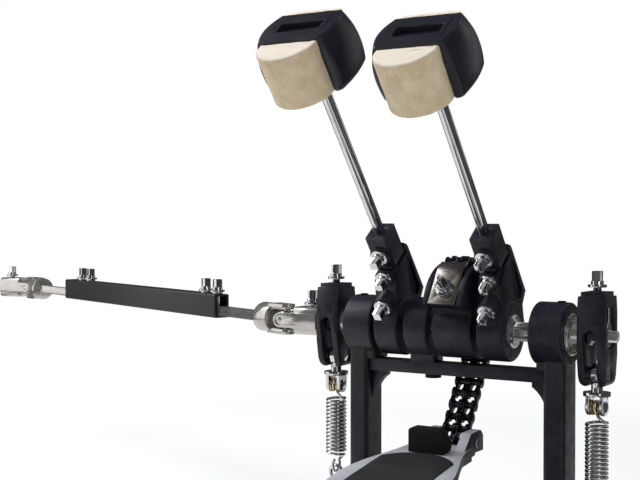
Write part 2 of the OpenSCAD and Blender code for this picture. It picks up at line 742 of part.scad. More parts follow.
module left_shaft_block() shaft_block(left_hub_x);
module right_shaft_block() shaft_block(right_hub_x);
module left_block_bolts() block_bolt(left_hub_x);
module right_block_bolts() block_bolt(right_hub_x);
module left_beater_shaft() beater_shaft(left_hub_x, left_rise);
module right_beater_shaft() beater_shaft(right_hub_x, right_rise);
module left_beater_body() beater_body(left_hub_x, left_rise);
module right_beater_body() beater_body(right_hub_x, right_rise);
module left_beater_felts() beater_felts(left_hub_x, left_rise);
module right_beater_felts() beater_felts(right_hub_x, right_rise);

// ---- cam and chain -------------------------------------------------------

clip_low = [-35.5, 19.5];
clip_high = [-20.7, 43];
clip_end = [-14.3, 47.5];
clip_tilt = 57.8;

// Side view of the cam: the part of a disc that the chain wraps
module cam_side(r) intersection() {
    translate([0, track_up]) circle(r, $fn = 96);
    polygon([[-60, 24], [-34, 19.2], [-22, 16], [-14, 8], [0, -8], [16, -13], [60, -10], [60, 60], [-60, 60]]);
}

module cam() color("#2c2d33") at_axle() difference() {
    union() {
        rim_disc(cam_x[0], cam_x[1], 21.5, 1.2);
        along_x(cam_x[0], cam_x[1]) cam_side(track_r - 4.6);
        for (x = [cam_x[0], cam_x[1] - 3.9]) along_x(x, x + 3.9) cam_side(track_r - 0.6);
        // seat under the chain clip
        along_x(cam_x[0], cam_x[1]) intersection() {
            cam_side(track_r - 0.6);
            polygon([[-60, 10], [clip_low[0] + 1.6, 18], clip_low + [1.9, 0.6], clip_high + [1.6, -1.4],
                [-15, 42], [-10, 20]]);
        }
    }
    hex_bar(cam_x[0] - 1, cam_x[1] + 1, fit_gap);
    clip_bolt_place() rod_z(-9, 3, key_r);
}

// Where the clip's bolt crosses the clip's lower face, Z outwards
module clip_bolt_place() translate([chain_x, clip_low[0] + 6.5, clip_low[1] + 10.4])
    rotate([clip_tilt, 0, 0]) children();

// Bent steel plate that clamps the chain's end on the cam
module chain_clip() color("#d8dadd") at_axle() difference() {
    along_x(chain_x - 10.5, chain_x + 10.5) clip_side(2);
    clip_bolt_place() rod_z(-9, 3, key_r);
}

module clip_side(t) {
    n1 = [-sin(clip_tilt), cos(clip_tilt)];
    polygon([clip_low, clip_low + t * n1, clip_high + t * n1, clip_end + [-0.6, 2], clip_end + [0.6, 0.2],
        clip_high + [1, -0.9]]);
}

// A link plate lying in the YZ plane from pin to pin
module plate(thick) along_x(0, thick) {
    circle(4.3);
    translate([pitch, 0]) circle(4.3);
    translate([0, -2.9]) square([pitch, 5.8]);
}

// Outer link of the two-strand chain: three plate layers on two pins
module outer_link() {
    for (x = [-10.1, -1.25, 8.85]) translate([x, 0, 0]) plate(x == -1.25 ? 2.5 : 1.25);
    for (y = [0, pitch]) translate([0, y, 0]) rod_x(-10.8, 10.8, 1.79);
}

// Inner link: two strands, each with two plates on two rollers
module inner_link(end_bore) difference() {
    for (x = [-strand / 2, strand / 2]) translate([x, 0, 0]) {
        for (dx = [-3.68, 2.43]) translate([dx, 0, 0]) plate(1.25);
        for (y = [0, pitch]) translate([0, y, 0]) rod_x(-2.5, 2.5, 2.54);
    }
    rod_x(-12, 12, 1.85);
    translate([0, pitch, 0]) rod_x(-12, 12, end_bore);
}

// Chain on the cam, pin by pin from the place where it leaves
module cam_chain() color("#1f2024") at_axle() for (i = [0:cam_links - 1]) {
    a = -chain_lean + i * link_turn;
    translate([chain_x, track_r * cos(a), track_up + track_r * sin(a)]) rotate([a + 90 + link_turn / 2, 0, 0]) {
        if (i % 2 == 0) outer_link();
        else inner_link(1.85);
    }
}

// Free chain down to the footboard; its last link is bored wide for the clevis pin
module drive_chain() color("#1f2024") at_axle() translate([chain_x, chain_leave[0], chain_leave[1]])
    rotate([-90 - chain_lean, 0, 0]) for (i = [0:run_links - 1]) translate([0, i * pitch, 0]) {
        if (i % 2 == 0) inner_link(i == run_links - 1 ? 2.53 : 1.85);
        else outer_link();
    }

// ---- springs -------------------------------------------------------------

left_spring_x = left_rocker_x[0] + rocker_w / 2;
right_spring_x = right_rocker_x[0] + rocker_w / 2;

// Stirrup: eye on the rocker's pin, neck, flange and fork
module stirrup(x) color("#d0d2d5") translate([x, 0, axle_h]) difference() {
    union() {
        translate([0, 0, -pin_drop]) rim_disc(-2.9, 2.9, 7.2, 1.4);
        rod_z(-40, -pin_drop - 5, 4);
        rod_z(-41.2, -38.6, 9.5);
        for (sx = [-1, 1]) scale([sx, 1, 1]) along_x(3.8, 6.2) {
            translate([-5.5, -roller_drop]) square([11, 10]);
            translate([0, -roller_drop]) circle(5.5);
        }
    }
    translate([0, 0, -pin_drop]) rod_x(-5, 5, pin_r + run_gap);
    translate([0, 0, -roller_drop]) rod_x(-9, 9, 2.5);
}

// Grooved brass roller on its bolt, head to the right
module roller(x) translate([x, 0, axle_h - roller_drop]) {
    color("#b08d4a") rotate([0, 90, 0]) difference() {
        translate([0, 0, -3.6]) cylinder(r = 5.2, h = 7.2);
        rotate_extrude() translate([5.6, 0]) circle(2.2);
        translate([0, 0, -5]) cylinder(r = 2.6, h = 10);
    }
    color("#d0d2d5") {
        rod_x(-7, 7, 2.49);
        rod_x(6.25, 7.4, 4.6);
        rod_x(-7.4, -6.25, 4.2);
    }
}

coil_r = (spring_d - wire_d) / 2;
coil_turns = (coil_top - coil_bottom) / coil_pitch;
turn_steps = 14;
wire_sides = 6;

// Centre line of a spring: hook round the roller, coil, straight tail to the lower hook
function coil_point(u) = [coil_r * cos(360 * u), coil_r * sin(360 * u), coil_top - u * coil_pitch];
function hook_point(a) = [0, 4.6 * sin(a), -roller_drop + 4.6 * cos(a)];
spring_path = concat(
    [for (a = [-140:28:140]) hook_point(a)],
    [[0, 1.6, -55.4], [2.4, 0.6, -57.3], [5, -0.6, -58.7]],
    [for (i = [0:turn_steps * floor(coil_turns)]) coil_point(i / turn_steps)]);

// Sweeps a round wire along a list of points
module wire(path, r) {
    n = len(path);
    rings = [for (i = [0:n - 1])
        let(a = path[max(i - 1, 0)], b = path[min(i + 1, n - 1)], d = (b - a) / norm(b - a),
            side = cross(d, abs(d[2]) > 0.9 ? [1, 0, 0] : [0, 0, 1]), s = side / norm(side), t = cross(d, s))
        for (k = [0:wire_sides - 1]) path[i] + r * (cos(360 * k / wire_sides) * s + sin(360 * k / wire_sides) * t)];
    walls = [for (i = [0:n - 2], k = [0:wire_sides - 1]) let(m = (k + 1) % wire_sides, p = i * wire_sides)
        [p + k, p + m, p + wire_sides + m, p + wire_sides + k]];
    polyhedron(rings, concat(walls, [[for (k = [wire_sides - 1:-1:0]) k]],
        [[for (k = [0:wire_sides - 1]) (n - 1) * wire_sides + k]]));
}

module spring(x) color("#c9cbce") translate([x, 0, axle_h]) wire(spring_path, wire_d / 2);

// Lower hook of a spring: it links through the anchor's eye
hook_r = 5;
module spring_hook(x) color("#c9cbce") translate([x, 0, axle_h - anchor_drop]) {
    translate([0, 0, 6]) rotate([0, 90, 0]) rotate_extrude() translate([hook_r, 0]) circle(wire_d / 2);
    translate([0, 0, 12]) rotate_extrude() translate([coil_r, 0]) circle(wire_d / 2);
    translate([0, 0, 11.6]) rotate([90, 0, 0]) translate([0, 0, -coil_r]) rod_z(0, 2 * coil_r, wire_d / 2);
}

module left_stirrup() stirrup(left_spring_x);
module right_stirrup() stirrup(right_spring_x);
module left_roller() roller(left_spring_x);
module right_roller() roller(right_spring_x);
module left_spring() spring(left_spring_x);
module right_spring() spring(right_spring_x);
module left_spring_hook() spring_hook(left_spring_x);
module right_spring_hook() spring_hook(right_spring_x);

// ---- drive linkage -------------------------------------------------------

// Places children on the linkage's line: X runs from the near joint to the far one
module on_link() translate([near_x, 0, axle_h]) rotate([0, 0, 180 - link_yaw]) children();

far_pos = [near_x - link_len * cos(link_yaw), link_len * sin(link_yaw)];

// Fork with a clamp block at +X; its ears, front and back, run on as ribs along the block
module clamp_fork(block_l, bolt_x) difference() {
    union() {
        along_x(13, 13 + block_l) round_rect(21, 22, 4);
        for (y = [-ear_out, ear_in]) along_y(y, y + ear_out - ear_in) {
            circle(5.8);
            translate([0, -5.8]) square([13 + block_l, 11.6]);
        }
    }
    translate([0, -13, 0]) rotate([-90, 0, 0]) cylinder(r = cross_r + run_gap, h = 26);
    translate([bolt_x, 0, 0]) rod_z(0, 20, key_r);
}

module near_fork() color("#c3bfb8") translate([near_x, 0, axle_h]) difference() {
    clamp_fork(21.5, near_bolt);
    hex_bar(14.8, 40, fit_gap);
}

// Cross of a universal joint: a small block on four pins
module joint_cross() {
    intersection() {
        cube(13, center = true);
        sphere(8.6);
    }
    translate([0, -11.9, 0]) rotate([-90, 0, 0]) cylinder(r = cross_r, h = 23.8);
    rod_z(-11.9, 11.9, cross_r);
}

module near_cross() color("#b9bcc0") translate([near_x, 0, axle_h]) joint_cross();

// Cup fork on a square bar: ears above and below the joint at 0, bar out to +X
module cup_fork(bar_end) difference() {
    union() {
        rod_x(15, 33, 12);
        for (z = [-ear_out, ear_in]) along_z(z, z + ear_out - ear_in) {
            circle(6.4);
            translate([0, -6.4]) square([20, 12.8]);
        }
        translate([30, -bar_w / 2, -bar_w / 2]) cube([bar_end - 30, bar_w, bar_w]);
    }
    translate([14, -7, -7.8]) cube([10, 14, 15.6]);
    rod_z(-20, 20, cross_r + run_gap);
}

bar_reach = 94;
tube_x0 = 103;
module near_cup() color("#c3bfb8") on_link() cup_fork(tube_x0 + bar_reach);

wall = 2;
tube_h = 20.5;
tube_w = 14.6;
tube_bolt_x = [7, 27, tube_l - 50, tube_l - 30];
module link_tube() color("#2a2b2f") on_link() difference() {
    translate([0, 0, -bar_w / 2 - wall + tube_h / 2 - run_gap]) along_x(tube_x0, tube_x0 + tube_l)
        round_rect(tube_w, tube_h, 1.5);
    translate([tube_x0 - 1, -tube_w / 2 + wall, -bar_w / 2 - run_gap])
        cube([tube_l + 2, tube_w - 2 * wall, tube_h - 2 * wall]);
    for (s = tube_bolt_x) translate([tube_x0 + s, 0, 0]) rod_z(8, 20, key_r);
}

module tube_bolts() color("#d8dadd") on_link() for (s = tube_bolt_x)
    translate([tube_x0 + s, 0, tube_h - bar_w / 2 - wall + 1.6]) {
        key_bolt(tube_h - bar_w - wall + 1.5);
        translate([0, 0, -1.65]) cylinder(r = 4.6, h = 1.6);
    }

module far_cup() color("#c3bfb8") on_link() translate([link_len, 0, 0]) rotate([0, 0, 180])
    cup_fork(link_len - tube_x0 - tube_l + bar_reach);

module at_far() translate([far_pos[0], far_pos[1], axle_h]) children();

module far_cross() color("#b9bcc0") at_far() joint_cross();

// Socket that takes the slave pedal's axle
socket_r = 6;
module far_socket() color("#c3bfb8") at_far() mirror([1, 0, 0]) difference() {
    clamp_fork(29, far_bolt);
    rod_x(20, 60, socket_r);
}

module far_socket_bolt() color("#d8dadd") at_far() translate([-far_bolt, 0, 12.6]) key_bolt(5.4);

base_grip();
base_plate();
left_upright();
right_upright();
crossbar();
centre_housing();
bearing_rings();
frame_screws();
heel_plate();
hinge_pins();
spring_anchors();
spurs();
lower_jaw_pad();
clamp_jaw();
clamp_jaw_pad();
clamp_wing_bolt();
footboard();
footboard_insert();
toe_block();
left_axle();
left_rocker();
left_saddle_and_pin();
left_key_bolts();
left_hub();
right_axle();
right_rocker();
right_saddle_and_pin();
right_key_bolts();
right_hub();
cam();
chain_clip();
cam_chain();
drive_chain();
left_shaft_block();
left_block_bolts();
left_beater_shaft();
left_beater_body();
left_beater_felts();
right_shaft_block();
right_block_bolts();
right_beater_shaft();
right_beater_body();
right_beater_felts();
left_stirrup();
left_roller();
left_spring();
left_spring_hook();
right_stirrup();
right_roller();
right_spring();
right_spring_hook();
near_fork();
near_cross();
near_cup();
link_tube();
tube_bolts();
far_cup();
far_cross();
far_socket();
far_socket_bolt();
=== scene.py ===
import bpy, bmesh, json
from math import atan2, cos, pi, radians, sin
from mathutils import Matrix, Vector, noise as unevenness

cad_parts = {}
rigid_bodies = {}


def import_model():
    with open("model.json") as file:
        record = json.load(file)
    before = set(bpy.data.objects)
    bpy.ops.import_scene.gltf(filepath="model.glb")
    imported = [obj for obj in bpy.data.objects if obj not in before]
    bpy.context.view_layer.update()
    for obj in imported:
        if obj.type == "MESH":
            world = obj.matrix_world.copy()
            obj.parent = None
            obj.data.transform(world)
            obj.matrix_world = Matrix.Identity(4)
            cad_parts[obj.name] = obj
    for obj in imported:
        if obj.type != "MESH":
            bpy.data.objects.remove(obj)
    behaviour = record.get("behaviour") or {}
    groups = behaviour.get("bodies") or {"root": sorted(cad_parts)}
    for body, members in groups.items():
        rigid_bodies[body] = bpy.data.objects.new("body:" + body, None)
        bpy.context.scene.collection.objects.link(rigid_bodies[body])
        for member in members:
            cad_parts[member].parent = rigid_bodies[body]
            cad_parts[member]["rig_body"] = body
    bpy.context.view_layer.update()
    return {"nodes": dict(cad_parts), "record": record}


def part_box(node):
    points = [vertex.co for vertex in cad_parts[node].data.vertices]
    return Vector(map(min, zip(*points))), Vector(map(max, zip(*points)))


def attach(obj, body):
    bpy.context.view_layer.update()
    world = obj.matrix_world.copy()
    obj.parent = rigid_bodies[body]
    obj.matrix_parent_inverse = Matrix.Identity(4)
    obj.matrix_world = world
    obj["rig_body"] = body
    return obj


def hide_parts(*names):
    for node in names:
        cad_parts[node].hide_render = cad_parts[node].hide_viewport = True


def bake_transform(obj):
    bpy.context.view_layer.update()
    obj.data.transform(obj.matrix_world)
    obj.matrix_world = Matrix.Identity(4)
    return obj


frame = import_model()
nodes = frame["nodes"]
scene = bpy.context.scene
MM = 0.001

# ---------------------------------------------------------------- camera
camera = bpy.data.objects.new("camera", bpy.data.cameras.new("camera"))
camera.data.lens = 67.5
camera.data.sensor_width = 36
camera.data.clip_start, camera.data.clip_end = 0.02, 20
camera.location = (0.3898, -0.7952, 0.251)
camera.rotation_euler = (radians(90 - 1.05), 0, radians(32.7))
scene.collection.objects.link(camera)
scene.camera = camera

# ---------------------------------------------------------------- finishes


def start(name, colour, roughness, metallic=0.0, **sockets):
    """A finish with a plain shader: (material, its nodes, the shader)."""
    mat = bpy.data.materials.new(name)
    mat.use_nodes = True
    shader = mat.node_tree.nodes["Principled BSDF"]
    shader.inputs["Base Color"].default_value = (*colour, 1)
    shader.inputs["Roughness"].default_value = roughness
    shader.inputs["Metallic"].default_value = metallic
    for socket, value in sockets.items():
        shader.inputs[socket.replace("_", " ")].default_value = value
    return mat, mat.node_tree, shader


def place(tree, stretch=(1, 1, 1)):
    """Where a pattern sits: the piece's own coordinates, stretched."""
    where = tree.nodes.new("ShaderNodeTexCoord")
    mapping = tree.nodes.new("ShaderNodeMapping")
    mapping.inputs["Scale"].default_value = stretch
    tree.links.new(where.outputs["Object"], mapping.inputs["Vector"])
    return mapping.outputs["Vector"]


def noise(tree, where, scale, detail=2.0, harsh=0.5):
    node = tree.nodes.new("ShaderNodeTexNoise")
    node.inputs["Scale"].default_value = scale
    node.inputs["Detail"].default_value = detail
    node.inputs["Roughness"].default_value = harsh
    tree.links.new(where, node.inputs["Vector"])
    return node.outputs["Fac"]


def between(tree, value, low, high, a, b):
    """value from low..high stretched to a..b, with soft ends"""
    node = tree.nodes.new("ShaderNodeMapRange")
    node.interpolation_type = "SMOOTHSTEP"
    tree.links.new(value, node.inputs["Value"])
    for socket, number in zip(("From Min", "From Max", "To Min", "To Max"), (low, high, a, b)):
        node.inputs[socket].default_value = number
    return node.outputs["Result"]


def tint(tree, shader, value, dark, light):
    """The colour goes from dark to light with value."""
    node = tree.nodes.new("ShaderNodeMix")
    node.data_type = "RGBA"
    tree.links.new(value, node.inputs[0])
    node.inputs[6].default_value = (*dark, 1)
    node.inputs[7].default_value = (*light, 1)
    tree.links.new(node.outputs[2], shader.inputs["Base Color"])


def patch(tree, shader, attribute, colour):
    """Where the piece's own attribute is 1, its colour gives way to this one."""
    here = tree.nodes.new("ShaderNodeAttribute")
    here.attribute_name = attribute
    node = tree.nodes.new("ShaderNodeMix")
    node.data_type = "RGBA"
    tree.links.new(here.outputs["Fac"], node.inputs[0])
    tree.links.new(shader.inputs["Base Color"].links[0].from_socket, node.inputs[6])
    node.inputs[7].default_value = (*colour, 1)
    tree.links.new(node.outputs[2], shader.inputs["Base Color"])


def add(tree, a, b, share=1.0):
    """a with a share of b added to it"""
    node = tree.nodes.new("ShaderNodeMath")
    node.operation = "MULTIPLY_ADD"
    tree.links.new(b, node.inputs[0])
    node.inputs[1].default_value = share
    tree.links.new(a, node.inputs[2])
    return node.outputs[0]


def relief(tree, shader, height, strength, depth):
    bump = tree.nodes.new("ShaderNodeBump")
    bump.inputs["Strength"].default_value = strength
    bump.inputs["Distance"].default_value = depth
    tree.links.new(height, bump.inputs["Height"])
    tree.links.new(bump.outputs["Normal"], shader.inputs["Normal"])


def painted_casting(name, dark, light, rough, grain=1500, depth=0.00012, gloss=0.3):
    """Powder coat on a casting: fine stipple, slow drift in tone, duller and brighter patches."""
    mat, tree, shader = start(name, light, rough[0], Specular_IOR_Level=gloss)
    where = place(tree)
    drift = noise(tree, where, 38, 3)
    stipple = noise(tree, where, grain, 3, 0.6)
    tint(tree, shader, between(tree, add(tree, drift, stipple, 1.2), 0.85, 1.35, 0, 1), dark, light)
    patches = noise(tree, where, 160, 4, 0.6)
    tree.links.new(between(tree, patches, 0.3, 0.7, *rough), shader.inputs["Roughness"])
    relief(tree, shader, add(tree, stipple, patches, 0.6), 0.5, depth)
    return mat


def plated(name, colour, light, rough, depth=0.00002, metal=1.0):
    """Plated or ground steel: fine marks and small changes in gloss."""
    mat, tree, shader = start(name, colour, rough[0], metal)
    where = place(tree)
    marks = noise(tree, where, 900, 3, 0.6)
    cloud = noise(tree, where, 70, 3)
    tint(tree, shader, between(tree, cloud, 0.35, 0.65, 0, 1), colour, light)
    gloss = between(tree, add(tree, cloud, marks, 0.5), 0.5, 1.0, *rough)
    tree.links.new(gloss, shader.inputs["Roughness"])
    relief(tree, shader, marks, 0.15, depth)
    return mat


cast_black = painted_casting("cast_black", (0.003, 0.003, 0.008), (0.019, 0.019, 0.031), (0.32, 0.48),
                             grain=900, depth=0.0003, gloss=0.4)
plate_black = painted_casting("plate_black", (0.006, 0.006, 0.009), (0.010, 0.010, 0.013), (0.42, 0.6),
                              grain=1900, gloss=0.2)
head_plastic = painted_casting("head_plastic", (0.010, 0.010, 0.017), (0.016, 0.016, 0.026), (0.28, 0.38),
                               grain=2600, depth=0.00002, gloss=0.5)
rubber_black = painted_casting("rubber_black", (0.006, 0.006, 0.007), (0.011, 0.011, 0.012), (0.75, 0.9),
                               grain=700, depth=0.0002, gloss=0.2)
silver_cast = painted_casting("silver_cast", (0.36, 0.37, 0.40), (0.46, 0.47, 0.50), (0.38, 0.52),
                              depth=0.0001, gloss=0.5)
tread_dark = painted_casting("tread_dark", (0.016, 0.016, 0.018), (0.026, 0.026, 0.029), (0.6, 0.8),
                             grain=1200, depth=0.0002)
tube_black = painted_casting("tube_black", (0.014, 0.014, 0.018), (0.016, 0.016, 0.020), (0.40, 0.46),
                             grain=2400, depth=0.00003, gloss=0.45)
# Painted reflection: the clip's steel is tinted dark brown, standing in for the brown it mirrors.
clip_steel_painted_reflection = plated("clip_steel_painted_reflection", (0.32, 0.295, 0.28), (0.38, 0.355, 0.34), (0.24, 0.32), depth=0.000005)
bright_steel = plated("bright_steel", (0.62, 0.62, 0.64), (0.74, 0.74, 0.76), (0.05, 0.12))
satin_steel = plated("satin_steel", (0.54, 0.52, 0.495), (0.62, 0.60, 0.575), (0.14, 0.24),
                     depth=0.000006, metal=0.82)
race_steel = plated("race_steel", (0.50, 0.48, 0.455), (0.58, 0.56, 0.53), (0.10, 0.18),
                    depth=0.000002, metal=0.88)
roller_brass = plated("roller_brass", (0.55, 0.38, 0.13), (0.66, 0.48, 0.20), (0.18, 0.35))
chain_black = plated("chain_black", (0.024, 0.024, 0.032), (0.050, 0.050, 0.062), (0.18, 0.34))


def felt_finish():
    """Pressed wool felt: soft colour drift, fine fibres, a light sheen and a painted highlight on the end
    faces.
    """
    mat, tree, shader = start("felt_beige", (0.66, 0.52, 0.34), 0.95, Sheen_Weight=0.2, Sheen_Roughness=0.5,
                              Specular_IOR_Level=0.2)
    cloud = noise(tree, place(tree), 95, 4, 0.6)
    fibre = noise(tree, place(tree, (1, 1, 3.2)), 900, 5, 0.7)
    tone = between(tree, add(tree, cloud, fibre, 1.6), 1.0, 1.65, 0, 1)
    tint(tree, shader, tone, (0.58, 0.45, 0.28), (0.76, 0.64, 0.46))
    # Painted highlight: the end faces are painted paler, standing in for the strong light on the felts' tops.
    patch(tree, shader, "painted_end_highlight", (0.80, 0.74, 0.67))
    relief(tree, shader, fibre, 0.7, 0.0005)
    return mat


def board_finish():
    """The silver enamel, black where the board's attribute side is 1."""
    mat = silver_cast.copy()
    mat.name = "board_two_tone"
    patch(mat.node_tree, mat.node_tree.nodes["Principled BSDF"], "side", (0.010, 0.010, 0.014))
    return mat


felt_beige = felt_finish()
board_two_tone = board_finish()
slot_finishes = (cast_black, plate_black, head_plastic, rubber_black, silver_cast, tread_dark, bright_steel,
                 satin_steel, race_steel, roller_brass, chain_black, felt_beige)
finishes = {finish.name.split(".")[0]: finish for finish in slot_finishes}
own_finish = {"footboard": board_two_tone, "link_tube": tube_black, "chain_clip": clip_steel_painted_reflection}

# ---------------------------------------------------------------- shared ways of making

slot_of = {p["node"]: p["material_slot"] for p in frame["record"]["subparts"]}
joints = {joint["name"]: joint for joint in frame["record"]["behaviour"]["joints"]}


def pivot(joint):
    """Where a joint is, in millimetres."""
    return Vector(joints[joint]["pos_m"]) / MM


def middle(node):
    """The middle of a CAD node's box, in millimetres."""
    low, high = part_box(node)
    return (low + high) / 2 / MM


# The middle of the axles, and the X of each rocker and its spring
AXLE = pivot("right_axle_turn")
ROCKER_X = {side: pivot(side + "_stirrup_swing").x for side in ("left", "right")}


def into_scene(name, mesh, body, slot, mat=None, stands_for=()):
    """A finished piece in the scene, riding on body and taking the place of the nodes it stands for."""
    obj = bpy.data.objects.new(name, mesh)
    scene.collection.objects.link(obj)
    obj.data.materials.clear()
    obj.data.materials.append(mat or finishes[slot])
    if stands_for:
        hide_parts(*stands_for)
    if body:
        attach(obj, body)
    return obj


def finish_bmesh(bm, name, sharp=35):
    """The finished mesh: merged, faces outwards, smooth but for edges sharper than the given degrees."""
    bmesh.ops.remove_doubles(bm, verts=bm.verts, dist=1e-6)
    bmesh.ops.recalc_face_normals(bm, faces=bm.faces)
    mesh = bpy.data.meshes.new(name)
    bm.to_mesh(mesh)
    bm.free()
    mesh.shade_smooth()
    mesh.set_sharp_from_angle(angle=radians(sharp))
    return mesh


def walls(bm, rings):
    """Faces between each ring of vertices and the next."""
    for a, b in zip(rings, rings[1:]):
        for k in range(len(a)):
            n = (k + 1) % len(a)
            bm.faces.new((a[k], a[n], b[n], b[k]))


def fan(bm, ring, tip):
    """Faces from a ring of vertices to a tip."""
    for k in range(len(ring)):
        bm.faces.new((ring[k], ring[(k + 1) % len(ring)], tip))


def mould(bm, layers):
    """Walls through the outlines of (height, outline) layers; the rings of the two ends are returned."""
    rings = [[bm.verts.new((p.x, p.y, z)) for p in points] for z, points in layers]
    walls(bm, rings)
    return rings[0], rings[-1]


def bar(bm, stations, radius, sides, closed=False):
    """A round bar through stations, each a centre and its section's two axes; its rings are returned."""
    turns = [2 * pi * k / sides for k in range(sides)]
    rings = [[bm.verts.new(centre + radius * (cos(t) * u + sin(t) * v)) for t in turns]
             for centre, u, v in stations]
    walls(bm, rings + rings[:1] if closed else rings)
    return rings


def lathe(bm, profile, steps):
    """A shape turned round Z: profile is (along, radius) pairs in millimetres. Its vertices are returned."""
    line = [bm.verts.new((r * MM, 0, z * MM)) for z, r in profile]
    edges = [bm.edges.new(pair) for pair in zip(line, line[1:])]
    others = set(bm.verts) - set(line)
    bmesh.ops.spin(bm, geom=line + edges, cent=(0, 0, 0), axis=(0, 0, 1), angle=2 * pi, steps=steps,
                   use_merge=True)
    return [v for v in bm.verts if v not in others]


def soften(node, width, mat=None):
    """A copy of a CAD part with every hard edge rounded by width, in its place."""
    bm = bmesh.new()
    bm.from_mesh(nodes[node].data)
    bmesh.ops.remove_doubles(bm, verts=bm.verts, dist=2e-6)
    bmesh.ops.dissolve_limit(bm, angle_limit=radians(0.6), verts=bm.verts, edges=bm.edges)
    bm.normal_update()
    edges = [e for e in bm.edges if len(e.link_faces) == 2 and e.calc_face_angle(0) > radians(28)]
    bmesh.ops.bevel(bm, geom=edges, offset=width, offset_type="OFFSET", affect="EDGES", segments=2,
                    profile=0.5, material=-1, clamp_overlap=True)
    bmesh.ops.triangulate(bm, faces=[f for f in bm.faces if len(f.verts) > 4])
    name = node + "_cast"
    return into_scene(name, finish_bmesh(bm, name), nodes[node]["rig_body"], slot_of[node], mat, [node])


# ---------------------------------------------------------------- castings and machined parts

# Rounding of each piece's hard edges, in millimetres
rounding = {
    "left_upright": 1.0, "right_upright": 1.0, "crossbar": 0.8, "centre_housing": 0.8, "base_plate": 0.6,
    "heel_plate": 1.0, "footboard": 0.7, "toe_block": 1.2, "clamp_jaw": 0.8, "clamp_wing_bolt": 0.5,
    "left_rocker": 0.9, "right_rocker": 0.9, "left_hub": 0.9, "right_hub": 0.9, "cam": 0.6,
    "left_shaft_block": 0.9, "right_shaft_block": 0.9,
    "near_fork": 0.8, "near_cup": 0.7, "far_cup": 0.7, "far_socket": 0.8, "link_tube": 0.4,
    "chain_clip": 0.35,
    "left_key_bolts": 0.75, "right_key_bolts": 0.75, "left_block_bolts": 0.75, "right_block_bolts": 0.75,
    "tube_bolts": 0.75, "far_socket_bolt": 0.75, "left_axle": 0.3, "right_axle": 0.3, "bearing_rings": 0.3,
    "left_saddle_and_pin": 0.3, "right_saddle_and_pin": 0.3, "left_stirrup": 0.5, "right_stirrup": 0.5,
    "left_beater_shaft": 0.6, "right_beater_shaft": 0.6, "frame_screws": 0.4, "hinge_pins": 0.4,
    "near_cross": 0.3, "far_cross": 0.3, "cam_chain": 0.18, "drive_chain": 0.18, "lower_jaw_pad": 0.4,
    "clamp_jaw_pad": 0.4, "footboard_insert": 0.4, "base_grip": 0.5,
}

for name, obj in nodes.items():
    obj.data.materials.clear()
    obj.data.materials.append(finishes[slot_of[name]])

pieces = {name: soften(name, width * MM, own_finish.get(name)) for name, width in rounding.items()}


def mark_sides(board, inside):
    """The attribute side is 1 on the board's upright walls that face away from inside, which is an X
    between the toe's cheeks."""
    side = board.attributes.new("side", "FLOAT", "FACE")
    for face in board.polygons:
        n = face.normal
        outwards = n.x * (face.center.x - inside) > 0
        side.data[face.index].value = float(outwards and abs(n.x) > 0.55 and abs(n.z) < 0.45)


mark_sides(pieces["footboard"].data, 10 * MM)

# ---------------------------------------------------------------- springs

# Heights from the axle: the anchors' eyes and the rollers
EYE = -118
ROLLER = middle("left_roller").z - AXLE.z


def curve_through(points, steps):
    """A smooth line through points (Catmull-Rom), steps pieces between each two."""
    out = []
    for i in range(len(points) - 1):
        a, b, c, d = (points[min(max(i + k, 0), len(points) - 1)] for k in (-1, 0, 1, 2))
        for j in range(steps):
            t = j / steps
            out.append(0.5 * (2 * b + (c - a) * t + (2 * a - 5 * b + 4 * c - d) * t * t
                              + (3 * b - a - 3 * c + d) * t ** 3))
    return out + [points[-1]]


def wire(bm, path, radius, sides=10):
    """A round wire along a path, with domed ends."""
    stations, side = [], None
    for i, point in enumerate(path):
        along = (path[min(i + 1, len(path) - 1)] - path[max(i - 1, 0)]).normalized()
        if side is None:
            side = along.orthogonal()
        side = (side - along * side.dot(along)).normalized()
        stations.append((point, side, along.cross(side)))
    rings = bar(bm, stations, radius, sides)
    for ring, end, before in ((rings[0], path[0], path[1]), (rings[-1], path[-1], path[-2])):
        fan(bm, ring, bm.verts.new(end + (end - before).normalized() * radius * 0.5))


def hook(first, last, radius, centre):
    """An open ring in the YZ plane round (0, 0, centre), from one angle to the other."""
    angles = [radians(a) for a in range(first, last, 10)]
    return [Vector((0, radius * sin(a), centre + radius * cos(a))) for a in angles]


def spring(side):
    """Return spring in one wire: hook round the roller, coil, hook through the anchor's eye."""
    upper_r, lower_r, wire_r = 4.6, 5, 1.1
    coil_r, rise, top, turns, per_turn = 7.1, 2.9, -59.5, 15, 28
    path = hook(-140, 141, upper_r, ROLLER)
    lead_in = [Vector((0, 1.6, -55.4)), Vector((2.4, 0.6, -57.3)), Vector((5, -0.6, -58.7))]
    path += curve_through([path[-1], *lead_in, Vector((coil_r, 0, top))], 6)[1:-1]
    for i in range(turns * per_turn + 1):
        a = 2 * pi * i / per_turn
        path.append(Vector((coil_r * cos(a), coil_r * sin(a), top - rise * i / per_turn)))
    lower = hook(50, 331, lower_r, EYE + 6)
    lead_out = [Vector((5.6, 3.6, -104.4)), Vector((2.0, 5.0, -106.2))]
    path += curve_through([path[-1], *lead_out, lower[0]], 8)[1:-1]
    centre = AXLE + Vector((ROCKER_X[side], 0, 0))
    bm = bmesh.new()
    wire(bm, [(p + centre) * MM for p in path + lower], wire_r * MM)
    name = side + "_spring_wire"
    obj = into_scene(name, finish_bmesh(bm, name, 60), None, "bright_steel",
                     stands_for=[side + "_spring", side + "_spring_hook"])
    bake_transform(obj)


for side in ROCKER_X:
    spring(side)

# ---------------------------------------------------------------- turned pieces and threads


